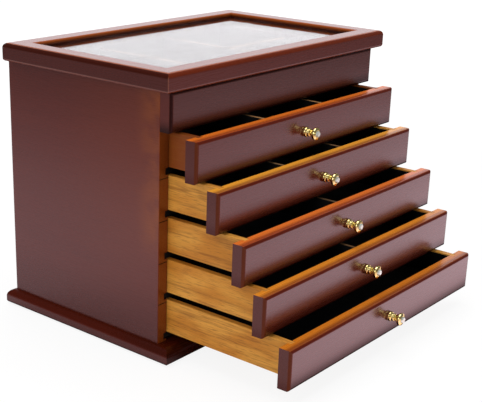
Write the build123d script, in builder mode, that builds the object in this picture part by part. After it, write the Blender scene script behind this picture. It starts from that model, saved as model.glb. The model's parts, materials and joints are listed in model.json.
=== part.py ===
from build123d import *
import os

# A jewellery chest, in millimetres: a case under a hinged, glazed lid, with five
# drawers whose fronts lie over the case, each pulled out further than the one above.
# Origin at the centre of the felt underside, +X to the right as seen from the front,
# the fronts face -Y and +Z is up.

# Case
case_width = 300.0  # over the side panels
case_depth = 183.2  # side panels, front to back
side_thickness = 11.0
back_thickness = 11.0
back_rebate = 5.0  # the back panel's reach into each side panel
housing_depth = 3.0  # sides and back let into the base board
shelf_thickness = 6.0
shelf_groove = 3.5  # depth of a shelf's groove in the side panels
shelf_setback = 1.5  # shelf edge behind the side panels' front edges
shelf_lift = 1.6  # air under the lowest shelf
row_pitch = 37.2  # from one shelf to the next
compartment_depth = 28.7  # clear height over the compartment floor
tongue_length = 3.0  # the compartment floor's reach into the fixed front
tongue_thickness = 3.0
arris = 0.5  # easing of the boards' sharp edges

# Base
felt_thickness = 0.8
felt_inset = 7.0
base_thickness = 13.6
base_side_overhang = 7.2
base_back_overhang = 7.0
base_nosing = 5.0  # beyond the closed fronts
base_round = 7.2  # of the upper edge
base_lower_round = 2.6

# Drawer fronts
front_thickness = 11.6
front_round = 2.7
front_gap = 0.4  # between a closed front and the case
front_reveal = 1.8  # between one front and the next

# Drawer boxes
drawer_pulls = (27.6, 50.8, 78.2, 100.5, 127.6)  # how far each stands open, top first
drawer_dividers = (2, 2, 1, 1, 0)  # dividers in each, top first
box_length = 168.0  # behind the front
box_side_gap = 0.8
box_lift = 0.3  # running clearance over the shelf
wall_thickness = 6.0
wall_housing = 3.0  # the side walls' reach into the front
back_wall_inset = 4.0  # back wall in from the side walls' ends
back_wall_housing = 2.0  # the back wall's reach into each side wall
bottom_thickness = 3.0
bottom_groove = 2.5
bottom_lift = 2.2  # bottom over the walls' lower edges
bottom_play = 0.2
lining_thickness = 1.2
lining_drop = 1.2  # lining below the walls' upper edges
divider_thickness = 3.2
divider_drop = 0.8
glue_line = 0.05  # between pieces glued up into one set

# Knobs: lengths follow one another along the axis from the front's face
stud_radius = 1.4
stud_length = 8.5
stud_play = 0.05
flange_radius = 4.5
flange_foot = 4.0
flange_length = 3.0
neck_radius = 2.7
neck_length = 1.5
neck_hollow = (0.3, 0.35)  # its curve passes here: share of its length, of its flange's rise
bead_radius = 3.6
bead_length = 1.8
throat_length = 0.3
flare_length = 4.0
flare_hollow = (0.55, 0.45)  # likewise, of the flare's length and of the head's rise
head_radius = 5.6
shoulder_fall = 0.25  # from the head's widest place to its two edges
brow_length = 2.2
nose_length = 0.8
nose_rim = 0.5
crystal_radius = 3.1
crystal_seat = 1.0
crystal_girdle = 0.4
crystal_crown = 1.1
crystal_sides = 10
crystal_taper = 38.0
crystal_play = 0.05

# Lid
lid_gap = 0.8  # between the case and the lid
lid_thickness = 16.2
lid_side_overhang = 10.2
lid_nosing = 5.6  # beyond the closed fronts
lid_back_inset = 4.3  # the lid's back in from the case's back
rail_width = 20.2
lid_outer_round = 4.4
lid_lower_round = 2.4
lid_inner_round = 2.4
pane_recess = 4.5  # the pane below the lid's top
pane_thickness = 3.0
pane_play = 0.4
rabbet_width = 5.0
bead_height = 4.0
bumper_radius = 3.5
bumper_thickness = 0.5

# Hinges
hinge_length = 25.0
hinge_offset = 95.0  # each hinge's centre from the middle
leaf_width = 6.2  # from the pin's axis
leaf_thickness = 1.0
leaf_play = 0.1
barrel_radius = 2.0
barrel_play = 0.2
pin_radius = 0.9
pin_play = 0.05
pin_head_radius = 1.3
pin_head_length = 0.5
knuckle_gap = 0.2
middle_knuckle = 9.6
screw_spacing = 15.0
screw_setback = 4.2  # from the pin's axis
screw_head_radius = 1.6
screw_radius = 0.75
screw_length = 8.0
screw_play = 0.05
screw_slot = 0.4  # width and depth of the driver's slot

# Top compartment
roll_count = 9
roll_gap = 0.6
roll_height = 16.0
roll_straight = 7.0  # upright part of a roll's side
soft_gap = 0.3
compartment_divider_drop = 3.0
cross_divider_share = 0.5  # the short divider's place along the right-hand bay

# Heights
drawer_count = len(drawer_pulls)
base_top = felt_thickness + base_thickness
shelf_bottoms = [base_top + shelf_lift + row_pitch * k for k in range(drawer_count + 1)]
floor_bottom = shelf_bottoms[-1]
floor_top = floor_bottom + shelf_thickness
case_top = floor_top + compartment_depth
lid_bottom = case_top + lid_gap
lid_top = lid_bottom + lid_thickness
pane_top = lid_top - pane_recess
pane_bottom = pane_top - pane_thickness
pin_z = (case_top + lid_bottom) / 2

# Places along X, on the right-hand side
case_half = case_width / 2
base_half = case_half + base_side_overhang
bay_half = case_half - side_thickness
box_half = bay_half - box_side_gap
box_inner_half = box_half - wall_thickness
lid_half = case_half + lid_side_overhang
opening_half = lid_half - rail_width
back_half = bay_half + back_rebate
floor_half = bay_half + shelf_groove
hinge_centres = (-hinge_offset, hinge_offset)

# Places along Y
base_depth = base_nosing + front_thickness + front_gap + case_depth + base_back_overhang
base_front = -base_depth / 2
face_plane = base_front + base_nosing
case_front = face_plane + front_thickness + front_gap
case_back = case_front + case_depth
back_inside = case_back - back_thickness
lid_front = face_plane - lid_nosing
lid_back = case_back - lid_back_inset
pin_y = lid_back
barrel_room = barrel_radius + barrel_play
screw_y = pin_y - screw_setback
screw_places = [(c + s * screw_spacing / 2, screw_y) for c in hinge_centres for s in (-1, 1)]

os.makedirs("parts", exist_ok=True)


# Label a finished piece and write it
def write(piece, name):
    piece.part.label = name
    export_step(piece.part, f"parts/{name}.step")


# A box between two places along each axis
def block(x_span, y_span, z_span, mode=Mode.ADD):
    spans = (x_span, y_span, z_span)
    with Locations(tuple((low + high) / 2 for low, high in spans)):
        Box(*(high - low for low, high in spans), mode=mode)


# A span along X on the right for sign 1, and its mirror image for sign -1
def on_side(sign, low, high):
    return (low, high) if sign > 0 else (-high, -low)


# Five cards of lining, on the floor and the four walls of a box
def lining_cards(half_width, y_span, z_span):
    front, back = y_span
    floor, rim = z_span
    wall_z = (floor + lining_thickness + glue_line, rim)
    block((-half_width, half_width), y_span, (floor, floor + lining_thickness))
    for sign in (-1, 1):
        block(on_side(sign, half_width - lining_thickness, half_width), y_span, wall_z)
    across = half_width - lining_thickness - glue_line
    for low in (front, back - lining_thickness):
        block((-across, across), (low, low + lining_thickness), wall_z)


# The X spans of a hinge's gain in the wood: for its leaf, and for its barrel and pin
def gain_spans(centre):
    leaf_end = hinge_length / 2 + leaf_play
    barrel_end = leaf_end + pin_head_length + pin_play
    return (centre - leaf_end, centre + leaf_end), (centre - barrel_end, centre + barrel_end)


# A round bar about the hinges' axis
def bar(x_span, radius, mode=Mode.ADD):
    low, high = x_span
    with Locations(Location(((low + high) / 2, pin_y, pin_z), (0, 90, 0))):
        Cylinder(radius, high - low, mode=mode)


# Countersunk screws, or the holes that take them, from a leaf's face up (1) or down (-1)
def screw_forms(face_z, into, play, length, mode=Mode.ADD):
    head_depth = screw_head_radius - screw_radius
    for x, y in screw_places:
        with Locations(Location((x, y, face_z + into * head_depth / 2), (90 - 90 * into, 0, 0))):
            Cone(screw_head_radius + play, screw_radius + play, head_depth, mode=mode)
        with Locations((x, y, face_z + into * length / 2)):
            Cylinder(screw_radius + play, length, mode=mode)


# The leaves and knuckles of both hinges on one side of the joint, with their screw holes
def hinge_leaves(leaf_z, face_z, into, knuckles):
    for centre in hinge_centres:
        leaf_x = (centre - hinge_length / 2, centre + hinge_length / 2)
        block(leaf_x, (pin_y - leaf_width, pin_y - barrel_room), leaf_z)
        for low, high in knuckles:
            knuckle_x = (centre + low, centre + high)
            block(knuckle_x, (pin_y - barrel_room, pin_y), leaf_z)
            bar(knuckle_x, barrel_radius)
            bar(knuckle_x, pin_radius + pin_play, Mode.SUBTRACT)
    screw_forms(face_z, into, screw_play, leaf_thickness, Mode.SUBTRACT)


# One set of hinge screws, slotted across their heads
def hinge_screws(face_z, into):
    screw_forms(face_z, into, 0, screw_length)
    slot_z = sorted((face_z, face_z + into * screw_slot))
    for x, y in screw_places:
        slot_x = (x - screw_head_radius, x + screw_head_radius)
        block(slot_x, (y - screw_slot / 2, y + screw_slot / 2), slot_z, Mode.SUBTRACT)


# Base board, routed round both edges, with housings for the case's panels
with BuildPart() as base_board:
    block((-base_half, base_half), (base_front, -base_front), (felt_thickness, base_top))
    fillet(base_board.faces().sort_by(Axis.Z)[-1].edges(), base_round)
    fillet(base_board.faces().sort_by(Axis.Z)[0].edges(), base_lower_round)
    housing_z = (base_top - housing_depth, base_top)
    for sign in (-1, 1):
        block(on_side(sign, bay_half, case_half), (case_front, case_back), housing_z, Mode.SUBTRACT)
    block((-bay_half, bay_half), (back_inside, case_back), housing_z, Mode.SUBTRACT)
write(base_board, "base_board")

with BuildPart() as base_felt:
    with BuildSketch():
        RectangleRounded(2 * (base_half - felt_inset), base_depth - 2 * felt_inset, felt_inset)
    extrude(amount=felt_thickness)
write(base_felt, "base_felt")

# Side panels, grooved for the shelves and rebated for the back panel
for side, sign in (("left", -1), ("right", 1)):
    with BuildPart() as side_panel:
        block(
            on_side(sign, bay_half, case_half),
            (case_front, case_back),
            (base_top - housing_depth, case_top),
        )
        corners = side_panel.edges().filter_by(Axis.Z).group_by(Axis.X)
        fillet(corners[0 if sign < 0 else -1], arris)
        for bottom in shelf_bottoms:
            block(
                on_side(sign, bay_half, bay_half + shelf_groove),
                (case_front, back_inside),
                (bottom, bottom + shelf_thickness),
                Mode.SUBTRACT,
            )
        block(
            on_side(sign, bay_half, bay_half + back_rebate),
            (back_inside, case_back),
            (base_top - housing_depth, case_top),
            Mode.SUBTRACT,
        )
    write(side_panel, f"side_panel_{side}")

# Back panel, with a gain for each hinge's lower leaf and barrel
with BuildPart() as back_panel:
    block((-back_half, back_half), (back_inside, case_back), (base_top - housing_depth, case_top))
    for centre in hinge_centres:
        leaf_x, barrel_x = gain_spans(centre)
        leaf_y = (pin_y - leaf_width - leaf_play, case_back)
        block(leaf_x, leaf_y, (case_top - leaf_thickness, case_top), Mode.SUBTRACT)
        block(barrel_x, (pin_y - barrel_room, case_back), (pin_z - barrel_room, case_top), Mode.SUBTRACT)
    screw_forms(case_top, -1, screw_play, screw_length + screw_play, Mode.SUBTRACT)
write(back_panel, "back_panel")

# The false front over the drawers, grooved behind for the compartment floor
tongue_x = (-floor_half, floor_half)
tongue_y = (case_front - tongue_length, case_front)
tongue_z = (floor_top - tongue_thickness, floor_top)
with BuildPart() as fixed_front:
    block((-case_half, case_half), (face_plane, case_front), (floor_bottom + front_reveal / 2, case_top))
    fillet(fixed_front.faces().sort_by(Axis.Y)[0].edges(), front_round)
    block(tongue_x, tongue_y, tongue_z, Mode.SUBTRACT)
write(fixed_front, "fixed_front")

# Shelves, numbered with the drawer that each carries
for number in range(1, drawer_count + 1):
    bottom = shelf_bottoms[drawer_count - number]
    shelf_y = (case_front + shelf_setback, back_inside)
    with BuildPart() as shelf:
        block((-floor_half, floor_half), shelf_y, (bottom, bottom + shelf_thickness))
    write(shelf, f"shelf_{number}")

with BuildPart() as compartment_floor:
    block((-floor_half, floor_half), (case_front, back_inside), (floor_bottom, floor_top))
    block(tongue_x, tongue_y, tongue_z)
write(compartment_floor, "compartment_floor")

# Top compartment: lining, three bays, and ring rolls in the left-hand bay
with BuildPart() as compartment_lining:
    lining_cards(bay_half, (case_front, back_inside), (floor_top, case_top - lining_drop))
write(compartment_lining, "compartment_lining")

bay_edge = bay_half / 3
card_top = floor_top + lining_thickness + glue_line
compartment_y = (case_front + lining_thickness + glue_line, back_inside - lining_thickness - glue_line)
with BuildPart() as compartment_dividers:
    divider_z = (card_top, case_top - compartment_divider_drop)
    for sign in (-1, 1):
        middle = sign * bay_edge
        divider_x = (middle - divider_thickness / 2, middle + divider_thickness / 2)
        block(divider_x, compartment_y, divider_z)
    cross_x = (bay_edge + divider_thickness / 2 + glue_line, bay_half - lining_thickness - glue_line)
    cross_y = case_front + cross_divider_share * (back_inside - case_front)
    block(cross_x, (cross_y - divider_thickness / 2, cross_y + divider_thickness / 2), divider_z)
write(compartment_dividers, "compartment_dividers")

with BuildPart() as ring_rolls:
    roll_start = -bay_half + lining_thickness + soft_gap
    roll_end = -bay_edge - divider_thickness / 2 - soft_gap
    roll_pitch = (compartment_y[1] - compartment_y[0] - soft_gap) / roll_count
    roll_half = (roll_pitch - roll_gap) / 2
    roll_foot = card_top + soft_gap
    roll_shoulder = roll_foot + roll_straight
    for k in range(roll_count):
        middle = compartment_y[0] + soft_gap / 2 + (k + 0.5) * roll_pitch
        with BuildSketch(Plane.YZ.offset(roll_start)):
            with BuildLine():
                Polyline(
                    (middle - roll_half, roll_shoulder),
                    (middle - roll_half, roll_foot),
                    (middle + roll_half, roll_foot),
                    (middle + roll_half, roll_shoulder),
                )
                ThreePointArc(
                    (middle - roll_half, roll_shoulder),
                    (middle, roll_foot + roll_height),
                    (middle + roll_half, roll_shoulder),
                )
            make_face()
        extrude(amount=roll_end - roll_start)
write(ring_rolls, "ring_rolls")

# Hinges: the case's leaves with the pins, the lid's leaves, and the screws of each
outer_knuckles = [
    (-hinge_length / 2, -middle_knuckle / 2 - knuckle_gap),
    (middle_knuckle / 2 + knuckle_gap, hinge_length / 2),
]
with BuildPart() as hinge_case_leaves:
    hinge_leaves((case_top - leaf_thickness, case_top), case_top, -1, outer_knuckles)
    for centre in hinge_centres:
        pin_end = hinge_length / 2 + pin_play
        bar((centre - pin_end, centre + pin_end), pin_radius)
        for low in (centre - pin_end - pin_head_length, centre + pin_end):
            bar((low, low + pin_head_length), pin_head_radius)
write(hinge_case_leaves, "hinge_case_leaves")

with BuildPart() as hinge_lid_leaves:
    middle_span = [(-middle_knuckle / 2, middle_knuckle / 2)]
    hinge_leaves((lid_bottom, lid_bottom + leaf_thickness), lid_bottom, 1, middle_span)
write(hinge_lid_leaves, "hinge_lid_leaves")

with BuildPart() as hinge_case_screws:
    hinge_screws(case_top, -1)
write(hinge_case_screws, "hinge_case_screws")

with BuildPart() as hinge_lid_screws:
    hinge_screws(lid_bottom, 1)
write(hinge_lid_screws, "hinge_lid_screws")

# Lid rails: one moulding, rebated for the pane and mitred at both ends
lid_middle_y = (lid_front + lid_back) / 2
lid_half_depth = (lid_back - lid_front) / 2
rails = {
    "front": (Vector(0, lid_front, lid_bottom), Vector(0, 1, 0), lid_half),
    "back": (Vector(0, lid_back, lid_bottom), Vector(0, -1, 0), lid_half),
    "left": (Vector(-lid_half, lid_middle_y, lid_bottom), Vector(1, 0, 0), lid_half_depth),
    "right": (Vector(lid_half, lid_middle_y, lid_bottom), Vector(-1, 0, 0), lid_half_depth),
}
for place, (outer_foot, inward, half_length) in rails.items():
    along = inward.cross(Vector(0, 0, 1))
    seat_height = pane_top - lid_bottom
    with BuildPart() as rail:
        with BuildSketch(Plane(origin=outer_foot, x_dir=inward, z_dir=along)):
            with BuildLine():
                Polyline(
                    (0, 0),
                    (0, lid_thickness),
                    (rail_width, lid_thickness),
                    (rail_width, seat_height),
                    (rail_width - rabbet_width, seat_height),
                    (rail_width - rabbet_width, 0),
                    close=True,
                )
            make_face()
            fillet(vertices().group_by(Axis.Y)[-1].sort_by(Axis.X)[0], lid_outer_round)
            fillet(vertices().group_by(Axis.Y)[-1].sort_by(Axis.X)[-1], lid_inner_round)
            fillet(vertices().group_by(Axis.Y)[0].sort_by(Axis.X)[0], lid_lower_round)
        extrude(amount=half_length, both=True)
        for end in (-1, 1):
            corner = outer_foot + along * (end * half_length)
            split(bisect_by=Plane(origin=corner, z_dir=inward + along * end), keep=Keep.BOTTOM)
        if place == "back":
            for centre in hinge_centres:
                leaf_x, barrel_x = gain_spans(centre)
                leaf_y = (pin_y - leaf_width - leaf_play, pin_y)
                barrel_y = (pin_y - barrel_room, pin_y)
                block(leaf_x, leaf_y, (lid_bottom, lid_bottom + leaf_thickness), Mode.SUBTRACT)
                block(barrel_x, barrel_y, (lid_bottom, pin_z + barrel_room), Mode.SUBTRACT)
            screw_forms(lid_bottom, 1, screw_play, screw_length + screw_play, Mode.SUBTRACT)
    write(rail, f"lid_rail_{place}")

# The pane in its rabbet, and the beads that hold it from below
seat_half = opening_half + rabbet_width
seat_y = (lid_front + rail_width - rabbet_width, lid_back - rail_width + rabbet_width)
with BuildPart() as lid_pane:
    pane_half = seat_half - pane_play
    block((-pane_half, pane_half), (seat_y[0] + pane_play, seat_y[1] - pane_play), (pane_bottom, pane_top))
write(lid_pane, "lid_pane")

with BuildPart() as pane_beads:
    bead_z = (pane_bottom - bead_height, pane_bottom)
    bead_width = rabbet_width - glue_line
    for low in (seat_y[0] + glue_line, seat_y[1] - glue_line - bead_width):
        block((-(seat_half - glue_line), seat_half - glue_line), (low, low + bead_width), bead_z)
    side_y = (seat_y[0] + rabbet_width + glue_line, seat_y[1] - rabbet_width - glue_line)
    for sign in (-1, 1):
        block(on_side(sign, opening_half, opening_half + bead_width), side_y, bead_z)
write(pane_beads, "pane_beads")

# Felt dots under the lid's front rail, clear of the closed case
with BuildPart() as lid_bumpers:
    bumper_x = case_half - side_thickness / 2
    with BuildSketch(Plane.XY.offset(lid_bottom)):
        with Locations([(sign * bumper_x, (face_plane + case_front) / 2) for sign in (-1, 1)]):
            Circle(bumper_radius)
    extrude(amount=-bumper_thickness)
write(lid_bumpers, "lid_bumpers")


# One drawer's pieces, from the top drawer, number 1, down
def drawer(number):
    shelf = drawer_count - number
    back = case_front - drawer_pulls[number - 1]
    face = back - front_thickness
    front_z = (shelf_bottoms[shelf] + front_reveal / 2, shelf_bottoms[shelf + 1] - front_reveal / 2)
    wall_z = (shelf_bottoms[shelf] + shelf_thickness + box_lift, front_z[1])
    bottom_z = (wall_z[0] + bottom_lift, wall_z[0] + bottom_lift + bottom_thickness)
    wall_y = (back - wall_housing, back + box_length)
    end_y = (wall_y[1] - back_wall_inset - wall_thickness, wall_y[1] - back_wall_inset)
    knob_origin = Vector(0, face, sum(front_z) / 2)
    outward = Vector(0, -1, 0)

    with BuildPart() as front:
        block((-case_half, case_half), (face, back), front_z)
        fillet(front.faces().sort_by(Axis.Y)[0].edges(), front_round)
        for sign in (-1, 1):
            wall_x = on_side(sign, box_inner_half, box_half)
            block(wall_x, (back - wall_housing, back), wall_z, Mode.SUBTRACT)
        groove_half = box_inner_half + bottom_groove
        block((-groove_half, groove_half), (back - bottom_groove, back), bottom_z, Mode.SUBTRACT)
        with BuildSketch(Plane(origin=knob_origin, z_dir=outward)):
            Circle(stud_radius + stud_play)
        extrude(amount=-(stud_length + stud_play), mode=Mode.SUBTRACT)
    write(front, f"drawer_{number}_front")

    with BuildPart() as walls:
        for sign in (-1, 1):
            block(on_side(sign, box_inner_half, box_half), wall_y, wall_z)
        fillet(walls.edges().filter_by(Axis.Y).group_by(Axis.Z)[-1], arris)
        for sign in (-1, 1):
            groove_x = on_side(sign, box_inner_half, box_inner_half + bottom_groove)
            block(groove_x, wall_y, bottom_z, Mode.SUBTRACT)
            housing_x = on_side(sign, box_inner_half, box_inner_half + back_wall_housing)
            block(housing_x, end_y, wall_z, Mode.SUBTRACT)
        end_half = box_inner_half + back_wall_housing - glue_line
        block((-end_half, end_half), (end_y[0] + glue_line, end_y[1] - glue_line), wall_z)
        block((-end_half, end_half), (end_y[0], end_y[0] + bottom_groove), bottom_z, Mode.SUBTRACT)
    write(walls, f"drawer_{number}_walls")

    with BuildPart() as bottom:
        reach = bottom_groove - bottom_play
        bottom_half = box_inner_half + reach
        block((-bottom_half, bottom_half), (back - reach, end_y[0] + reach), bottom_z)
    write(bottom, f"drawer_{number}_bottom")

    with BuildPart() as lining:
        inside_y = (back, end_y[0] + glue_line)
        lining_cards(box_inner_half, inside_y, (bottom_z[1], wall_z[1] - lining_drop))
    write(lining, f"drawer_{number}_lining")

    count = drawer_dividers[number - 1]
    if count > 0:
        with BuildPart() as dividers:
            divider_y = (back + lining_thickness + glue_line, end_y[0] - lining_thickness - glue_line)
            divider_z = (bottom_z[1] + lining_thickness + glue_line, wall_z[1] - divider_drop)
            for k in range(count):
                middle = box_inner_half * (2 * (k + 1) / (count + 1) - 1)
                divider_x = (middle - divider_thickness / 2, middle + divider_thickness / 2)
                block(divider_x, divider_y, divider_z)
        write(dividers, f"drawer_{number}_dividers")

    with BuildPart() as knob:
        with BuildSketch(Plane(origin=knob_origin, x_dir=outward, z_dir=(-1, 0, 0))):
            neck_end = flange_length + neck_length
            bead_end = neck_end + bead_length
            throat_end = bead_end + throat_length
            flare_end = throat_end + flare_length
            brow_end = flare_end + brow_length
            nose_end = brow_end + nose_length
            shoulder = head_radius - shoulder_fall
            neck_bend = (
                flange_length + neck_hollow[0] * neck_length,
                neck_radius + neck_hollow[1] * (flange_foot - neck_radius),
            )
            flare_bend = (
                throat_end + flare_hollow[0] * flare_length,
                neck_radius + flare_hollow[1] * (shoulder - neck_radius),
            )
            with BuildLine():
                Polyline(
                    (nose_end - crystal_seat, 0),
                    (-stud_length, 0),
                    (-stud_length, stud_radius),
                    (0, stud_radius),
                    (0, flange_foot),
                )
                flange_rim = (flange_length / 2, flange_radius)
                ThreePointArc((0, flange_foot), flange_rim, (flange_length, flange_foot))
                ThreePointArc((flange_length, flange_foot), neck_bend, (neck_end, neck_radius))
                bead_top = (neck_end + bead_length / 2, bead_radius)
                ThreePointArc((neck_end, neck_radius), bead_top, (bead_end, neck_radius))
                Line((bead_end, neck_radius), (throat_end, neck_radius))
                ThreePointArc((throat_end, neck_radius), flare_bend, (flare_end, shoulder))
                brow_top = (flare_end + brow_length / 2, head_radius)
                ThreePointArc((flare_end, shoulder), brow_top, (brow_end, shoulder))
                Polyline(
                    (brow_end, shoulder),
                    (nose_end, crystal_radius + nose_rim),
                    (nose_end, crystal_radius),
                    (nose_end - crystal_seat, crystal_radius),
                    (nose_end - crystal_seat, 0),
                )
            make_face()
        revolve(axis=Axis(knob_origin, outward))
    write(knob, f"drawer_{number}_knob")

    with BuildPart() as crystal:
        seat = Plane(origin=knob_origin + outward * (nose_end - crystal_seat), z_dir=outward)
        girdle_length = crystal_seat + crystal_girdle
        with BuildSketch(seat):
            RegularPolygon(crystal_radius - crystal_play, crystal_sides)
        extrude(amount=girdle_length)
        with BuildSketch(seat.offset(girdle_length)):
            RegularPolygon(crystal_radius - crystal_play, crystal_sides)
        extrude(amount=crystal_crown, taper=crystal_taper)
    write(crystal, f"drawer_{number}_crystal")


for number in range(1, drawer_count + 1):
    drawer(number)
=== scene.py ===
import json
import math
import bmesh
import bpy
import numpy as np
from mathutils import Matrix, Vector


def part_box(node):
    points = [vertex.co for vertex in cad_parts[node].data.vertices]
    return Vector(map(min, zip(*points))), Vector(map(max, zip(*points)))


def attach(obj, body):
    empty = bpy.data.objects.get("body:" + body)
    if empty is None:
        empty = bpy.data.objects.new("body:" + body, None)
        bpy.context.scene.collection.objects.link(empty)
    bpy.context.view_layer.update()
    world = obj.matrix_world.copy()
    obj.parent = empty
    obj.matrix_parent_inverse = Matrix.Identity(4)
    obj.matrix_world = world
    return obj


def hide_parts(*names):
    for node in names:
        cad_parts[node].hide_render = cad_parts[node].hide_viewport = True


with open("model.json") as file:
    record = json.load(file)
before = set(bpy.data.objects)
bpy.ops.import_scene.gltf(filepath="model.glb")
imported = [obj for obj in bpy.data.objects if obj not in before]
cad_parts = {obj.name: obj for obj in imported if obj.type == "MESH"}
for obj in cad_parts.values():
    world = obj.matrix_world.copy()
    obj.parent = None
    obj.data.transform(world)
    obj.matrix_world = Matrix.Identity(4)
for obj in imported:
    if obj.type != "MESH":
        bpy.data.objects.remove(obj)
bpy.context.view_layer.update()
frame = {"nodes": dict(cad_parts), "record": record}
nodes = frame["nodes"]
bodies = frame["record"]["behaviour"]["bodies"]
bodyWith = {node: body for body, members in bodies.items() for node in members}
drawerNumbers = [n for n in range(1, 10) if f"drawer_{n}_front" in nodes]
print("frame loaded:", len(nodes), "nodes,", len(drawerNumbers), "drawers")


# A socket that Python sums can be done on: each operator adds the Math node that it stands for
class Wire:
    def __init__(self, tree, socket=None):
        self.tree = tree
        self.socket = socket

    # Any other node: its settings first, then the values or links of its sockets
    def node(self, kind, settings=None, inputs=None, output=0):
        made = self.tree.nodes.new("ShaderNode" + kind)
        for name, value in (settings or {}).items():
            setattr(made, name, value)
        for name, value in (inputs or {}).items():
            if isinstance(value, Wire):
                self.tree.links.new(value.socket, made.inputs[name])
            else:
                made.inputs[name].default_value = value
        return Wire(self.tree, made.outputs[output])

    def math(self, operation, *values):
        return self.node("Math", {"operation": operation}, dict(enumerate(values)))

    def __add__(self, other):
        return self.math("ADD", self, other)

    def __radd__(self, other):
        return self.math("ADD", other, self)

    def __sub__(self, other):
        return self.math("SUBTRACT", self, other)

    def __rsub__(self, other):
        return self.math("SUBTRACT", other, self)

    def __mul__(self, other):
        return self.math("MULTIPLY", self, other)

    def __rmul__(self, other):
        return self.math("MULTIPLY", other, self)

    # 0 below low, 1 above high and an S-curve between; low may be the larger one
    def step(self, low, high):
        settings = {"interpolation_type": "SMOOTHSTEP"}
        return self.node("MapRange", settings, {"Value": self, "From Min": low, "From Max": high})

    # Noise that mostly lies between 0.3 and 0.7, stretched to the whole range from 0 to 1
    def stretched(self):
        return self.step(0.3, 0.7)

    def absolute(self):
        return self.math("ABSOLUTE", self)

    # This value as the share of the second colour in a mix of two
    def share(self, first, second):
        return self.node("Mix", {"data_type": "RGBA"}, {0: self, 6: first, 7: second}, 2)

    # The object's own coordinates, which are the Texture Coordinate node's output 3
    def place(self):
        return self.node("TexCoord", output=3)

    # The surface's normal in those coordinates, its output 1
    def normal(self):
        return self.node("TexCoord", output=1)

    # X, Y and Z of a vector
    def parts(self):
        split = self.node("SeparateXYZ", {}, {0: self}).socket.node
        return [Wire(self.tree, socket) for socket in split.outputs]


# A material on one Principled shader: fixed holds its constants, and varying gives what changes over
# the surface
def newMaterial(name, fixed, varying):
    material = bpy.data.materials.new(name)
    material.use_nodes = True
    tree = material.node_tree
    shader = tree.nodes["Principled BSDF"]
    for socket, value in fixed.items():
        shader.inputs[socket].default_value = value
    for socket, wire in varying(Wire(tree)).items():
        tree.links.new(wire.socket, shader.inputs[socket])
    return material


# A shader put out as a material's surface or a world's background
def finishWith(shader, kind):
    out = shader.tree.nodes.new("ShaderNodeOutput" + kind)
    shader.tree.links.new(shader.socket, out.inputs["Surface"])


# Noise on the object's own coordinates, with its scale per metre along each axis, shifted to seat
def noiseOn(start, scales, seat=(0, 0, 0), detail=4.0, roughness=0.55, distortion=0.0):
    place = start.node("Mapping", {}, {"Vector": start.place(), "Location": seat, "Scale": scales})
    values = {
        "Vector": place,
        "Scale": 1.0,
        "Detail": detail,
        "Roughness": roughness,
        "Distortion": distortion,
    }
    return start.node("TexNoise", {}, values)


# A board's fibres run along one axis: scales that are low along it and high across it
def alongGrain(axis, along, across):
    return [along if k == axis else across for k in range(3)]


# The same scale along each axis
def evenly(scale):
    return (scale, scale, scale)


def bumpFrom(start, height, strength, distance):
    return start.node("Bump", {}, {"Strength": strength, "Distance": distance, "Height": height})


# Scales are per metre. A span gives the values of the noise between which a tone comes in or goes.
mahogany = {
    "stain": (0.112, 0.0135, 0.0050, 1),
    "lightStreak": (0.118, 0.0144, 0.0052, 1),
    "lightSpan": (0.50, 0.74),
    "darkStreak": (0.104, 0.0123, 0.0046, 1),
    "darkSpan": (0.30, 0.52),
    "pore": (0.045, 0.006, 0.0020, 1),
    "poreSpan": (0.30, 0.44),
    "poreShare": 0.12,
    "rounded": (0.145, 0.0165, 0.0008, 1),  # the stain is purer on rounded edges, and painted lighter there as light from above
    "roundedNormals": (0.998, 0.965),  # largest part of a normal where an edge begins, and is full
    "roundedGloss": 0.15,
    "streaksAlong": 6.0,  # broad figure
    "streaksAcross": 60.0,
    "fibresAlong": 55.0,  # fine pores
    "fibresAcross": 1500.0,
    "roughness": (0.25, 0.06),  # at least, and what the fibres add
    "relief": (0.008, 0.0002),  # of the fibres: strength, and depth in metres
    "sealer": 0.25,
    "sheen": (1.0, 0.50, 0.62, 1),  # the sealer under the lacquer shines a little red
    "coatRoughness": 0.22,
    "coatIor": 1.60,
}
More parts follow.
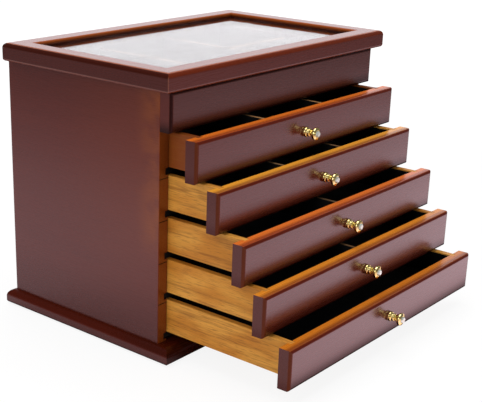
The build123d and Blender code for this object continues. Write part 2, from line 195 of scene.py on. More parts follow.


# Stain with broad streaks and fine dark pores, purer and duller on rounded edges, where it is also
# painted lighter as light from above. What worn(start, place, normal) gives is a list of patches,
# some of them painted light or shade. Each is a mask from 0 to 1, and what the piece's look says of
# it: its full share, its colour and the part of the lacquer's gloss that is left there.
def lacqueredWood(name, axis, seat, worn=None):
    look = mahogany

    def varying(start):
        broad = alongGrain(axis, look["streaksAlong"], look["streaksAcross"])
        streaks = noiseOn(start, broad, seat, detail=5, roughness=0.6, distortion=0.6)
        fine = alongGrain(axis, look["fibresAlong"], look["fibresAcross"])
        fibres = noiseOn(start, fine, seat, detail=3, roughness=0.6)
        place = start.place().parts()
        normal = start.normal().parts()
        colour = streaks.step(*look["darkSpan"]).share(look["darkStreak"], look["stain"])
        colour = streaks.step(*look["lightSpan"]).share(colour, look["lightStreak"])
        pores = 1 - fibres.step(*look["poreSpan"])
        colour = (pores * look["poreShare"]).share(colour, look["pore"])
        aside, ahead, upward = [part.absolute() for part in normal]
        largest = start.math("MAXIMUM", start.math("MAXIMUM", aside, ahead), upward)
        rounded = largest.step(*look["roundedNormals"])
        colour = rounded.share(colour, look["rounded"])
        gloss = 1 - (1 - look["roundedGloss"]) * rounded
        patches = worn(start, place, normal) if worn else []
        for mask, (fullShare, tone, glossLeft) in patches:
            share = mask * fullShare
            colour = share.share(colour, tone)
            gloss = gloss * (1 - (1 - glossLeft) * share)
        least, added = look["roughness"]
        return {
            "Base Color": colour,
            "Roughness": least + added * fibres.stretched(),
            "Coat Weight": gloss,
            "Normal": bumpFrom(start, fibres, *look["relief"]),
        }

    fixed = {
        "IOR": 1.5,
        "Specular IOR Level": look["sealer"],
        "Specular Tint": look["sheen"],
        "Coat Roughness": look["coatRoughness"],
        "Coat IOR": look["coatIor"],
    }
    return newMaterial(name, fixed, varying)


# Gives a CAD node its material
def dress(name, material):
    slots = nodes[name].data.materials
    slots.clear()
    slots.append(material)


# A band in a value, as a share: 1 within half of middle, fading out over soft on each side
def band(value, middle, half, soft):
    return (value - middle).absolute().step(half + soft, half)


# The lowest part of a front, as a share that grows towards its lower edge, where painted shade goes
def lowerEdge(name, place, depth=0.012):
    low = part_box(name)[0].z
    return place[2].step(low + depth, low)


# Painted shade, nearly black: for edges that face down or into a joint, and for the base under the
# drawers
paintedShadeBlack = (0.020, 0.0035, 0.0010, 1)


# A patch is its full share, its colour and the part of the gloss that is left. Normals gives the
# values of a part of the normal between which its mask grows, and Heights and Depth are in metres.
caseLook = {
    "thinStain": (0.36, (0.215, 0.034, 0.0040, 1), 0.95),  # on the sides, towards the front
    "thinDepth": 0.150,
    "thinHeights": (0.020, 0.130),  # but not near the base
    "rubbed": (0.55, (0.330, 0.080, 0.0060, 1), 0.85),  # and hands have rubbed them there
    "rubbedDepth": 0.030,
    "rubbedHeights": (0.085, 0.120),
    "rubbedClouds": 30.0,  # scale of the noise that breaks it up
    "rubbedSpan": (0.32, 0.56),
    "rubbedSeat": (4, 2, 7),
    "shade": (0.50, (0.070, 0.0088, 0.0034, 1), 0.9),  # the sides darken towards the lid
    "shadeHeights": (0.185, 0.235),
    "foot": (0.6, (0.060, 0.0080, 0.0034, 1), 0.9),  # and towards the base; both are painted shade
    "footHeights": (0.075, 0.015),
    "bareEdge": (1.0, (0.205, 0.045, 0.0060, 1), 0.35),  # the side panels' front edges
    "bareNormals": (-0.75, -0.98),
    "seam": (1.0, (0.020, 0.004, 0.001, 1), 0.3),  # a joint's line across those edges
    "seamDrop": 0.0026,  # below each shelf
    "seamHalf": 0.0003,
    "baseBand": (1.0, (0.085, 0.0110, 0.0042, 1), 0.88),
    "baseTop": (1.0, (0.074, 0.0066, 0.0004, 1), 0.15),  # the base's moulding is painted darker, as shade
    "baseTopNormals": (0.05, 0.40),
    "baseAhead": (0.4, paintedShadeBlack, 0.8),  # painted shade under the open drawers
    "baseAheadStart": -0.02,  # from this Y, growing to the case's front
    # painted shade on the base's forward faces, in front of the case
    "baseFront": (0.7, paintedShadeBlack, 0.6),
    "baseFrontNormals": (-0.05, -0.50),
    "baseSideNormals": (-0.70, -0.30),  # the front's patch ends where the moulding turns left
    # painted shade on the base's underside
    "baseUnder": (1.0, paintedShadeBlack, 0.1),
    "baseUnderNormals": (-0.02, -0.40),
    "plainFront": (1.0, (0.092, 0.0165, 0.0090, 1), 1.0),  # the fixed front's face
    "plainNormals": (-0.90, -0.99),
    "edgeNormals": (-0.10, -0.30),  # forward part of a normal on its rounded edges
    "frontLeft": (1.0, paintedShadeBlack, 0.2),
    "frontLeftNormals": (-0.15, -0.45),
    "frontTop": (1.0, paintedShadeBlack, 0.3),
    "frontTopNormals": (0.10, 0.40),
    "frontLow": (1.0, paintedShadeBlack, 0.3),
    "seats": {
        "side_panel_left": (3.1, 0.7, 1.9),
        "side_panel_right": (5.3, 2.2, 7.4),
        "back_panel": (1.7, 4.1, 2.6),
        "fixed_front": (8.2, 0.4, 6.1),
        "base_board": (2.9, 6.6, 3.3),
    },
}


def paintCase():
    look = caseLook
    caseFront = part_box("side_panel_left")[0].y

    # The stain is thin and rubbed towards the front, and painted shade darkens it at the top and the
    # foot. The front edges are bare, with a seam below each shelf.
    def sideWear(start, place, normal):
        thin = place[1].step(caseFront + look["thinDepth"], caseFront)
        clouds = noiseOn(start, evenly(look["rubbedClouds"]), look["rubbedSeat"], detail=3)
        clouds = clouds.step(*look["rubbedSpan"])
        rubbed = place[1].step(caseFront + look["rubbedDepth"], caseFront) * clouds
        bare = normal[1].step(*look["bareNormals"])
        patches = [
            (place[2].step(*look["shadeHeights"]), look["shade"]),
            (place[2].step(*look["footHeights"]), look["foot"]),
            (thin * place[2].step(*look["thinHeights"]), look["thinStain"]),
            (rubbed * place[2].step(*look["rubbedHeights"]), look["rubbed"]),
            (bare, look["bareEdge"]),
        ]
        for number in drawerNumbers:
            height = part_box(f"shelf_{number}")[0].z - look["seamDrop"]
            line = band(place[2], height, look["seamHalf"], look["seamHalf"])
            patches.append((line * bare, look["seam"]))
        return patches

    # The base has an upright band, a moulding on top painted darker as shade, and nearly black
    # painted shade in front of the case and below
    def baseWear(start, place, normal):
        upward = normal[2].step(*look["baseTopNormals"])
        ahead = place[1].step(look["baseAheadStart"], caseFront)
        forward = normal[1].step(*look["baseFrontNormals"]) * normal[0].step(*look["baseSideNormals"])
        return [
            (1 - upward, look["baseBand"]),
            (upward, look["baseTop"]),
            (upward * ahead, look["baseAhead"]),
            (forward, look["baseFront"]),
            (normal[2].step(*look["baseUnderNormals"]), look["baseUnder"]),
        ]

    # The fixed front has a plain face, and nearly black painted shade at its left, upper and lower
    # edges
    def frontWear(start, place, normal):
        facing = normal[1].step(*look["edgeNormals"])
        return [
            (normal[1].step(*look["plainNormals"]), look["plainFront"]),
            (normal[0].step(*look["frontLeftNormals"]) * facing, look["frontLeft"]),
            (normal[2].step(*look["frontTopNormals"]) * facing, look["frontTop"]),
            (lowerEdge("fixed_front", place), look["frontLow"]),
        ]

    wear = {
        "side_panel_left": sideWear,
        "side_panel_right": sideWear,
        "base_board": baseWear,
        "fixed_front": frontWear,
    }
    for name, seat in look["seats"].items():
        axis = 1 if name.startswith("side") else 0
        dress(name, lacqueredWood(name + "Lacquer", axis, seat, wear.get(name)))


# Patches as in the case's look
lidLook = {
    "top": (1.0, (0.25, 0.055, 0.025, 1), 0.66),  # the flat top is painted lighter, as light from above
    "topNormals": (0.93, 0.99),
    "crest": (1.0, (0.46, 0.135, 0.060, 1), 0.8),  # the start of its rounded edges has a painted highlight
    "crestNormals": (0.82, 0.96),
    # painted shade: the lid's ends are darker
    "sideFace": (0.9, (0.068, 0.0085, 0.0032, 1), 0.9),
    "sideNormals": (0.85, 0.99),
    "deep": (1.0, (0.048, 0.0050, 0.0004, 1), 0.5),  # painted shade on rounded edges that face left or right
    "deepNormals": (0.10, 0.40),  # sideways
    "deepRise": (0.02, 0.20),  # and upwards
    "wellHigh": (0.32, 0.066, 0.0065, 1),  # the sides that go down to the pane, with painted light at the top and painted shade near the pane
    "wellLow": (0.040, 0.0055, 0.0006, 1),
    "wellGloss": 0.15,
    "wellFade": 0.002,
    "corner": (0.35, (0.40, 0.150, 0.080, 1), 0.5),  # a painted highlight on the sharp front corners
    "cornerWidth": 0.0004,
    "foot": (1.0, (0.42, 0.22, 0.17, 1), 0.5),  # and one along the lower edge
    "footNormals": (-0.10, -0.22, -0.40, -0.62),  # it fades in and out between these slopes
    "footShares": (0.12, 0.16),  # along the front, and what is added along the sides
    "footSides": (0.3, 0.7),  # sideways part of a normal where that begins, and is full
    "seats": {
        "front": (0, (0.3, 9.1, 4.4)),
        "back": (0, (6.4, 1.8, 0.9)),
        "left": (1, (4.7, 3.9, 8.8)),
        "right": (1, (7.7, 5.2, 2.1)),
    },
    "beadSeat": (1.1, 2.2, 3.3),
}


# The lid has painted light on its flat top, at the start of its rounded edges, on its front
# corners and along its lower edge, and painted shade at its ends, on its sideways rounded edges
# and in its well
def paintLid():
    look = lidLook
    low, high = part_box("lid_rail_front")
    cornerX, cornerY = -low.x, low.y
    paneLow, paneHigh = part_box("lid_pane")
    middle = (paneLow + paneHigh) / 2
    half = (paneHigh - paneLow) / 2

    def lidWear(start, place, normal):
        up = normal[2]
        aside = normal[0].absolute()
        flat = up.step(*look["topNormals"])
        begins, full, fades, ends = look["footNormals"]
        foot = up.step(begins, full) * up.step(ends, fades)
        footLeast, footAdded = look["footShares"]
        width = look["cornerWidth"]
        outermost = place[0].absolute().step(cornerX - 2 * width, cornerX - width)
        corner = outermost * place[1].step(cornerY + 2 * width, cornerY + width)
        between = band(place[0], middle.x, half.x, look["wellFade"])
        inside = between * band(place[1], middle.y, half.y, look["wellFade"])
        well = place[2].step(paneHigh.z, high.z).share(look["wellLow"], look["wellHigh"])
        return [
            (aside.step(*look["sideNormals"]), look["sideFace"]),
            (aside.step(*look["deepNormals"]) * up.step(*look["deepRise"]), look["deep"]),
            (inside * (1 - flat), (1.0, well, look["wellGloss"])),
            (up.step(*look["crestNormals"]), look["crest"]),
            (flat, look["top"]),
            (corner, look["corner"]),
            (foot * (footLeast + footAdded * aside.step(*look["footSides"])), look["foot"]),
        ]

    for side, (axis, seat) in look["seats"].items():
        dress("lid_rail_" + side, lacqueredWood("lid" + side.capitalize(), axis, seat, lidWear))
    dress("pane_beads", lacqueredWood("beadLacquer", 0, look["beadSeat"]))


frontShadeBlack = (0.022, 0.0035, 0.0010, 1)  # painted shade: a front is nearly black where it faces down

# Patches as in the case's look. Ridges, the walls' painted red shade and bareDividers have an entry
# for each drawer, from the highest.
drawerLook = {
    "ridges": (  # painted light from above on the fronts' flat upper edges, at the back
        (0.95, 0.215, 0.018, 1),
        (0.95, 0.390, 0.034, 1),
        (0.82, 0.185, 0.024, 1),
        (0.86, 0.285, 0.022, 1),
        (0.66, 0.190, 0.012, 1),
    ),
    "ridgeFront": (0.42, 0.33, 0.60, 1),  # times this at the front
    "ridgeSpan": (0.003, 0.0085),  # behind the face
    "ridgeGloss": 0.10,
    "ridgeNormals": (0.80, 0.97),
    "edgeNormals": (-0.10, -0.30),  # forward part of a normal on the rounded edges
    "crest": (1.0, (0.105, 0.0090, 0.0008, 1), 0.6),  # painted shade on the rounded edge before the ridge
    "crestNormals": (0.15, 0.45),
    "upright": (1.0, (0.110, 0.0200, 0.0020, 1), 0.8),  # the rounded ends
    "uprightNormals": (0.15, 0.45),
    "end": (0.8, (0.078, 0.0105, 0.0040, 1), 0.85),  # the flat ends take more stain
    "endNormals": (0.90, 0.99),
    "low": (0.8, frontShadeBlack, 0.4),  # painted shade on the face's lowest part
    "under": (1.0, frontShadeBlack, 0.5),  # painted shade on the rounded edge below it
    "underNormals": (-0.10, -0.40),
    "seat": (0.61, 3.7, 1.3),  # times one more than the drawer's number
    "wallShadeRed": (0.95, 0.0, 0.05, 0.0, 0.0),  # the walls' wood painted darker red, as shade and bounced red light
    "bareDividers": (0.95, 0.42, 0.30, 0.40, 0.0),  # how bare the dividers' upper edges are
    "wallSeat": (1.3, 0.37, 2.1),  # times the number
    "bottomSeat": (0.9, 1.7, 5.0),  # the first two times the number
}


# A front's flat upper edge has a thin stain, painted brighter as light from above, most at the back.
# Its rounded ends keep more stain, and the rounded edge before the ridge is painted shade.
def paintFront(number, ridge):
    look = drawerLook
    name = f"drawer_{number}_front"
    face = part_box(name)[0].y
    near, far = look["ridgeSpan"]
    ridgeAhead = tuple(a * b for a, b in zip(ridge, look["ridgeFront"]))

    def frontWear(start, place, normal):
        tone = place[1].step(face + near, face + far).share(ridgeAhead, ridge)
        facing = normal[1].step(*look["edgeNormals"])
        aside = normal[0].absolute()
        return [
            (lowerEdge(name, place), look["low"]),
            (aside.step(*look["endNormals"]), look["end"]),
            (facing * normal[2].step(*look["crestNormals"]), look["crest"]),
            (facing * aside.step(*look["uprightNormals"]), look["upright"]),
            (facing * normal[2].step(*look["underNormals"]), look["under"]),
            (normal[2].step(*look["ridgeNormals"]), (1.0, tone, look["ridgeGloss"])),
        ]

    seat = [v * (number + 1) for v in look["seat"]]
    dress(name, lacqueredWood(f"front{number}", 0, seat, frontWear))


# Scales, spans and relief as in mahogany
honey = {
    "light": (0.88, 0.405, 0.064, 1),
    "middle": (0.70, 0.265, 0.028, 1),
    "dark": (0.30, 0.085, 0.008, 1),
    "red": (0.250, 0.042, 0.0020, 1),
    "cloudsAlong": 14.0,
    "cloudsAcross": 40.0,
    "cloudSpan": (0.38, 0.60),
    "streaksAlong": 9.0,
    "streaksAcross": 190.0,
    "streakSpan": (0.30, 0.52),
    "streakShare": 0.7,
    "fibresAlong": 90.0,
    "fibresAcross": 1700.0,
    "fibreSpan": (0.32, 0.50),
    "fibreShare": 0.55,
    "roughness": (0.42, 0.2),  # at least, and what the fibres add
    "relief": (0.12, 0.0002),
    "fixed": {"Specular IOR Level": 0.3, "Coat Weight": 0.10, "Coat Roughness": 0.35},
}


# Numbers that lie at a share of the way from the first ones to the second
def mixNumbers(first, second, share):
    return tuple(a + (b - a) * share for a, b in zip(first, second))


# Golden wood with darker streaks and short dark pores along its fibres. The red share mixes in a
# darker red tone, painted shade and bounced red light.
def honeyWood(name, axis, seat, wallShadeRed=0.0):
    look = honey
    light = mixNumbers(look["light"], look["red"], wallShadeRed)
    middle = mixNumbers(look["middle"], look["red"], wallShadeRed)

    def varying(start):
        broad = alongGrain(axis, look["streaksAlong"], look["streaksAcross"])
        streaks = noiseOn(start, broad, seat, detail=6, roughness=0.62, distortion=0.8)
        fine = alongGrain(axis, look["fibresAlong"], look["fibresAcross"])
        fibres = noiseOn(start, fine, seat, detail=3, roughness=0.6)
        soft = alongGrain(axis, look["cloudsAlong"], look["cloudsAcross"])
        clouds = noiseOn(start, soft, seat, detail=2)
        colour = clouds.step(*look["cloudSpan"]).share(middle, light)
        dark = (1 - streaks.step(*look["streakSpan"])) * look["streakShare"]
        colour = dark.share(colour, look["dark"])
        pores = (1 - fibres.step(*look["fibreSpan"])) * look["fibreShare"]
        colour = pores.share(colour, look["dark"])
        least, added = look["roughness"]
        return {
            "Base Color": colour,
            "Roughness": least + added * fibres.stretched(),
            "Normal": bumpFrom(start, fibres, *look["relief"]),
        }

    return newMaterial(name, look["fixed"], varying)


shelfLook = {
    "dark": (0.0035, 0.003, 0.003, 1),
    "light": (0.009, 0.008, 0.008, 1),
    "grain": (60, 900, 900),
    "roughness": (0.55, 0.2),
    "fixed": {"Specular IOR Level": 0.3},
}


# Matt black paint through which the fibres still show
def blackShelf():
    look = shelfLook

    def varying(start):
        fibres = noiseOn(start, look["grain"], detail=3, roughness=0.6)
        least, added = look["roughness"]
        return {
            "Base Color": fibres.stretched().share(look["dark"], look["light"]),
            "Roughness": least + added * fibres,
        }

    return newMaterial("shelfBlack", look["fixed"], varying)


dividerLook = {
    "light": (0.68, 0.37, 0.15, 1),
    "dark": (0.46, 0.21, 0.075, 1),
    "flock": (0.004, 0.004, 0.0045, 1),
    "grain": (900, 70, 900),
    "seat": (2, 3, 4),
    "topNormals": (0.6, 0.9),
    "bareLength": 0.006,  # of its upper edge behind the front
    "fade": 0.030,
    "leastShare": 0.05,  # of bare wood further back, where painted shade darkens the edge
    "roughness": (0.9, 0.35),  # of the flock, and what bare wood takes off
    "fixed": {"Specular IOR Level": 0.3},
}


# A thin board with flocked sides. Its upper edge is bare wood, in the given share, up to a little
# behind frontY, and from there painted shade fades it to the flock.
def dividerBoard(name, frontY, bareShare=1.0):
    look = dividerLook
    least = look["leastShare"]
    flockRoughness, smoother = look["roughness"]

    def varying(start):
        upward = start.normal().parts()[2].step(*look["topNormals"])
        bareEnd = frontY + look["bareLength"]
        bare = start.place().parts()[1].step(bareEnd + look["fade"], bareEnd)
        fibres = noiseOn(start, look["grain"], look["seat"], detail=3, roughness=0.6)
        wood = fibres.stretched().share(look["dark"], look["light"])
        woodShare = upward * (least + (bareShare - least) * bare)
        return {
            "Base Color": woodShare.share(look["flock"], wood),
            "Roughness": flockRoughness - smoother * woodShare,
        }

    return newMaterial(name, look["fixed"], varying)


brassLook = {
    "dark": (0.93, 0.72, 0.25, 1),
    "light": (1.0, 0.86, 0.42, 1),
    "clouds": 220.0,
    "seat": (1, 2, 3),
    "cloudSpan": (0.35, 0.7),
    "scuffs": (2500, 2500, 300),
    "scuffSpan": (0.4, 0.75),
    "scuffRoughness": 0.08,
    "relief": (0.008, 0.0001),
    "knobRoughness": 0.07,
    "hingeRoughness": 0.22,
}


# Brass with cloudy tarnish and fine scuffs
def polishedBrass(name, roughness):
    look = brassLook

    def varying(start):
        clouds = noiseOn(start, evenly(look["clouds"]), look["seat"], roughness=0.6)
        scuffs = noiseOn(start, look["scuffs"], detail=2)
        return {
            "Base Color": clouds.step(*look["cloudSpan"]).share(look["dark"], look["light"]),
            "Roughness": roughness + look["scuffRoughness"] * scuffs.step(*look["scuffSpan"]),
            "Normal": bumpFrom(start, scuffs, *look["relief"]),
        }

    return newMaterial(name, {"Metallic": 1.0}, varying)


crystalLook = {
    "dark": (0.64, 0.64, 0.52, 1),
    "light": (0.90, 1.0, 0.94, 1),
    "facets": 700.0,
    "seat": (4, 1, 2),
    "facetSpan": (0.35, 0.65),
    "roughness": (0.02, 0.10),
    "fixed": {"Metallic": 0.50, "Coat Weight": 1.0, "Coat Roughness": 0.0},
}


# Cut crystal on a foil, so it throws light back instead of letting it through
def foiledCrystal():
    look = crystalLook

    def varying(start):
        facets = noiseOn(start, evenly(look["facets"]), look["seat"], detail=1)
        least, added = look["roughness"]
        return {
            "Base Color": facets.step(*look["facetSpan"]).share(look["dark"], look["light"]),
            "Roughness": least + added * facets,
        }

    return newMaterial("foiledCrystal", look["fixed"], varying)


paneLook = {
    "tint": (0.93, 0.96, 0.95, 1),
    "sheen": (1.0, 0.955, 1.0, 1),
    "smears": (14, 34, 14),  # long smears of polish
    "seat": (3, 3, 3),
    "roughness": (0.01, 0.07),  # clean, and what they add
    "roughSpan": (0.35, 0.8),
    "haze": (0.86, 0.80, 0.86, 1),  # a faint film in them
    "hazeSpan": (0.35, 0.75),
    "hazeShare": 0.015,
}


# Clear glass, a little rough where polish was smeared, under a faint pale film
def clearPane():
    look = paneLook
    material = bpy.data.materials.new("clearPane")
    material.use_nodes = True
    material.node_tree.nodes.clear()
    start = Wire(material.node_tree)
    smears = noiseOn(start, look["smears"], look["seat"], detail=5, roughness=0.62, distortion=1.2)
    least, added = look["roughness"]
    glass = start.node("BsdfPrincipled", {}, {
        "Base Color": look["tint"],
        "Transmission Weight": 1.0,
        "IOR": 1.5,
        "Specular Tint": look["sheen"],
        "Roughness": least + added * smears.step(*look["roughSpan"]),
    })
    film = start.node("BsdfDiffuse", {}, {"Color": look["haze"]})
    share = smears.step(*look["hazeSpan"]) * look["hazeShare"]
    finishWith(start.node("MixShader", {}, {0: share, 1: glass, 2: film}), "Material")
    return material


velvetLook = {
    "dark": (0.0020, 0.0020, 0.0023, 1),
    "light": (0.0050, 0.0050, 0.0057, 1),
    "clumps": 260.0,
    "clumpSpan": (0.35, 0.7),
    "clumpHeight": 2,  # as a multiple of the tips'
    "tips": 5200.0,
    "roughness": (0.92, 0.08),
    "relief": (0.5, 0.0003),
    "fixed": {
        "Specular IOR Level": 0.1,
        "Sheen Weight": 0.12,
        "Sheen Roughness": 0.35,
        "Sheen Tint": (0.45, 0.45, 0.52, 1),
    },
}


# Short black pile: clumps lean one way or another, and its tips catch light at a low angle
def blackVelvet():
    look = velvetLook

    def varying(start):
        clumps = noiseOn(start, evenly(look["clumps"]), roughness=0.6)
        tips = noiseOn(start, evenly(look["tips"]), detail=2)
        least, added = look["roughness"]
        return {
            "Base Color": clumps.step(*look["clumpSpan"]).share(look["dark"], look["light"]),
            "Roughness": least + added * tips,
            "Normal": bumpFrom(start, tips + clumps * look["clumpHeight"], *look["relief"]),
        }

    return newMaterial("blackVelvet", look["fixed"], varying)


# Corner numbers of a grid's four-sided faces, counted row by row from start
def gridFaces(rows, columns, start, wrap):
    row = np.arange(rows - 1)[:, None]
    column = np.arange(columns if wrap else columns - 1)[None, :]
    here = row * columns + column
    beside = row * columns + (column + 1) % columns
    return start + np.stack((here, beside, beside + columns, here + columns), -1).reshape(-1, 4)


mergeWithin = 2e-6  # metres
leastEdge = 1e-7


# A piece from grids of points: doubled points are merged, which closes seams and poles
def pieceFrom(name, grids, material, body, wrap=False):
    points = np.concatenate([grid.reshape(-1, 3) for grid in grids])
    starts = np.cumsum([0] + [grid.shape[0] * grid.shape[1] for grid in grids[:-1]])
    faces = [gridFaces(*grid.shape[:2], start, wrap) for grid, start in zip(grids, starts)]
    mesh = bpy.data.meshes.new(name)
    mesh.from_pydata(points.tolist(), [], np.concatenate(faces).tolist())
    work = bmesh.new()
    work.from_mesh(mesh)
    bmesh.ops.remove_doubles(work, verts=work.verts, dist=mergeWithin)
    bmesh.ops.dissolve_degenerate(work, edges=work.edges, dist=leastEdge)
    bmesh.ops.recalc_face_normals(work, faces=work.faces)
    for face in work.faces:
        face.smooth = True
    work.to_mesh(mesh)
    work.free()
    mesh.materials.append(material)
    piece = bpy.data.objects.new(name, mesh)
    bpy.context.scene.collection.objects.link(piece)
    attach(piece, body)
    return piece


liningLook = {
    "card": 0.0012,  # thickness
    "seam": 0.00005,  # from card to card
    "edgePoints": 5,  # round a card's edge
    "points": (26, 12),  # from edge to edge, along its first side and its second
    "puckers": 0.05,  # as a share of half the thickness
    "puckerTurns": 520.0,  # radians per metre
    "puckerReach": 0.004,
    "phaseStep": 1.7,  # radians from one card to the next
}


# Places from low to high, close together near both ends, for an edge of the given radius
def edgedPlaces(low, high, radius, points):
    turn = np.linspace(0, math.pi / 2, liningLook["edgePoints"])
    near = radius * (1 - np.cos(turn))
    between = np.linspace(low + radius, high - radius, points)[1:-1]
    return np.concatenate([low + near, between, high - near[::-1]])


# A card wrapped in cloth, between two corners. Each face stands off the middle plane by half the
# thickness times a quarter-round of the distance from the edges. Shallow puckers are taken off it: a
# sine along the first side, which dies away from the edges of the second.
def wrappedCard(low, high, phase):
    look = liningLook
    low = np.array(low, float)
    high = np.array(high, float)
    thin = int(np.argmin(high - low))
    first, second = [k for k in range(3) if k != thin]
    half = (high[thin] - low[thin]) / 2
    firstPlaces = edgedPlaces(low[first], high[first], half, look["points"][0])
    secondPlaces = edgedPlaces(low[second], high[second], half, look["points"][1])
    u, v = np.meshgrid(firstPlaces, secondPlaces, indexing="ij")
    rim = 1.0
    for value, axis in ((u, first), (v, second)):
        gap = np.minimum(value - low[axis], high[axis] - value)
        rim = rim * np.sqrt(np.clip(1 - (1 - np.clip(gap / half, 0, 1)) ** 2, 0, 1))
    inward = np.minimum(v - low[second], high[second] - v)
    ripple = 1 + np.sin(u * look["puckerTurns"] + phase)
    wave = 1 - look["puckers"] * ripple * np.exp(-inward / look["puckerReach"])
    grids = []
    for side in (1, -1):
        grid = np.empty(u.shape + (3,))
        grid[..., first] = u
        grid[..., second] = v
        grid[..., thin] = (low[thin] + high[thin]) / 2 + side * half * rim * wave
        grids.append(grid)
    return grids


# Five wrapped cards in the space of a lining node: the floor, the walls on the left and right, and
# the front and back walls between them
def velvetLining(node, name, velvet):
    low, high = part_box(node)
    card, seam = liningLook["card"], liningLook["seam"]
    top = low.z + card + seam
    across = (low.x + card + seam, high.x - card - seam)
    cards = [((low.x, low.y, low.z), (high.x, high.y, low.z + card))]
    for x in (low.x, high.x - card):
        cards.append(((x, low.y, top), (x + card, high.y, high.z)))
    for y in (low.y, high.y - card):
        cards.append(((across[0], y, top), (across[1], y + card, high.z)))
    grids = []
    for k, corners in enumerate(cards):
        grids += wrappedCard(*corners, liningLook["phaseStep"] * k)
    piece = pieceFrom(name, grids, velvet, bodyWith[node])
    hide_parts(node)


rollLook = {
    "count": 9,
    "gap": 0.0006,
    "rows": 61,
    "columns": 36,
    "endPower": 9.0,
    "sidePower": 0.8,
    "upperPower": 0.92,
    "lowerPower": 0.45,
    "clearance": (0.0003, 0.0002),  # from the edges of its space, across it and upwards
    "sag": 0.0006,
    "sagSwing": (0.6, 0.4),  # its middle share, and what a sine along the roll adds or takes
    "sagTurns": 3,  # radians over the roll's length
    "wrinkle": 0.00022,
    "wrinkles": 11,  # round an end
    "wrinkleFade": 10,  # power of the distance from the roll's middle
    "phases": 6.28,  # up to this, drawn for each roll
    "seed": 7,
}


# Foam rolls under velvet. A roll's section is a superellipse, rounder above than below, drawn in at
# both ends by another superellipse along its length, with gathers that fade away from the ends.
def ringRolls(velvet):
    look = rollLook
    low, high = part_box("ring_rolls")
    pitch = (high.y - low.y + look["gap"]) / look["count"]
    halfWidth = (pitch - look["gap"]) / 2
    halfHeight = (high.z - low.z) / 2
    slackAcross, slackUp = look["clearance"]
    along = (1 - np.cos(np.linspace(0, math.pi, look["rows"]))[:, None]) / 2
    fromMiddle = np.abs(2 * along - 1)
    turn = np.linspace(0, 2 * math.pi, look["columns"], endpoint=False)[None, :]
    ends = (1 - fromMiddle ** look["endPower"]) ** (1 / look["endPower"])
    power = np.where(np.sin(turn) > 0, look["upperPower"], look["lowerPower"])
    side = np.sign(np.cos(turn)) * np.abs(np.cos(turn)) ** look["sidePower"]
    rise = np.sign(np.sin(turn)) * np.abs(np.sin(turn)) ** power
    usual, swing = look["sagSwing"]
    random = np.random.default_rng(look["seed"])
    for k in range(look["count"]):
        middle = low.y + halfWidth + k * pitch
        phase = random.uniform(0, look["phases"], 3)
        gathers = look["wrinkle"] * np.sin(look["wrinkles"] * turn + phase[0])
        gathers = gathers * fromMiddle ** look["wrinkleFade"]
        uneven = usual + swing * np.sin(look["sagTurns"] * along + phase[1])
        slump = look["sag"] * np.sin(math.pi * along) ** 2 * uneven
        grid = np.empty((look["rows"], look["columns"], 3))
        grid[..., 0] = low.x + along * (high.x - low.x)
        grid[..., 1] = middle + (halfWidth - slackAcross) * side * ends + gathers * side
        lift = (halfHeight - slackUp) * rise * ends + gathers * rise
        grid[..., 2] = (low.z + high.z) / 2 + np.where(rise > 0, lift - slump * rise, lift)
        roll = pieceFrom(f"ring_roll_{k + 1}", [grid], velvet, bodyWith["ring_rolls"], wrap=True)
        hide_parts("ring_rolls")


feltLook = {
    "sheet": (0.03, 0.03, 0.032, 1),
    "dot": (0.06, 0.035, 0.02, 1),
    "darker": 0.5,  # times the colour, in the hollows
    "lumps": 900.0,
    "roughness": (0.9, 0.1),
    "relief": (0.6, 0.0004),
    "fixed": {"Specular IOR Level": 0.1, "Sheen Weight": 0.2},
    "corner": 0.007,
    "cornerPoints": 12,
    "edgePoints": 7,
    "rings": (0.0, 0.35, 0.7),  # inside the edge, as shares of the outline
    "dotColumns": 28,
    "dotRings": 7,
    "domePower": 0.35,
}


# Felt with lumps and darker hollows
def pressedFelt(name, colour):
    look = feltLook
    darker = tuple(look["darker"] * v for v in colour[:3]) + (1,)

    def varying(start):
        lumps = noiseOn(start, evenly(look["lumps"]), detail=5, roughness=0.7)
        least, added = look["roughness"]
        return {
            "Base Color": lumps.stretched().share(darker, colour),
            "Roughness": least + added * lumps,
            "Normal": bumpFrom(start, lumps, *look["relief"]),
        }

    return newMaterial(name, look["fixed"], varying)


# The felt under the base: rings of a rounded rectangle from its middle out, round the edge and back
def baseFelt():
    look = feltLook
    low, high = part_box("base_felt")
    middle = np.array([(low.x + high.x) / 2, (low.y + high.y) / 2])
    half = np.array([(high.x - low.x) / 2, (high.y - low.y) / 2])
    corner, points = look["corner"], look["cornerPoints"]
    quarters = np.arange(4) * math.pi / 2
    angle = np.concatenate([np.linspace(turn, turn + math.pi / 2, points) for turn in quarters])
    signs = np.repeat(np.array([(1, 1), (-1, 1), (-1, -1), (1, -1)]), points, axis=0)
    outline = signs * (half - corner) + corner * np.stack([np.cos(angle), np.sin(angle)], -1)
    thick = (high.z - low.z) / 2
    bend = np.linspace(-math.pi / 2, math.pi / 2, look["edgePoints"])
    shrink = 1 - thick / half.min()
    inner = np.array(look["rings"]) * shrink
    flat = np.ones(len(inner))
    scale = np.concatenate([inner, shrink + (1 - shrink) * np.cos(bend), inner[::-1]])
    height = np.concatenate([-flat, np.sin(bend), flat]) * thick + (low.z + high.z) / 2
    grid = np.empty((len(scale), len(outline), 3))
    grid[..., :2] = middle + scale[:, None, None] * outline[None]
    grid[..., 2] = height[:, None]
    felt = pressedFelt("baseFelt", look["sheet"])
    sheet = pieceFrom("base_felt_sheet", [grid], felt, bodyWith["base_felt"], wrap=True)
    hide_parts("base_felt")


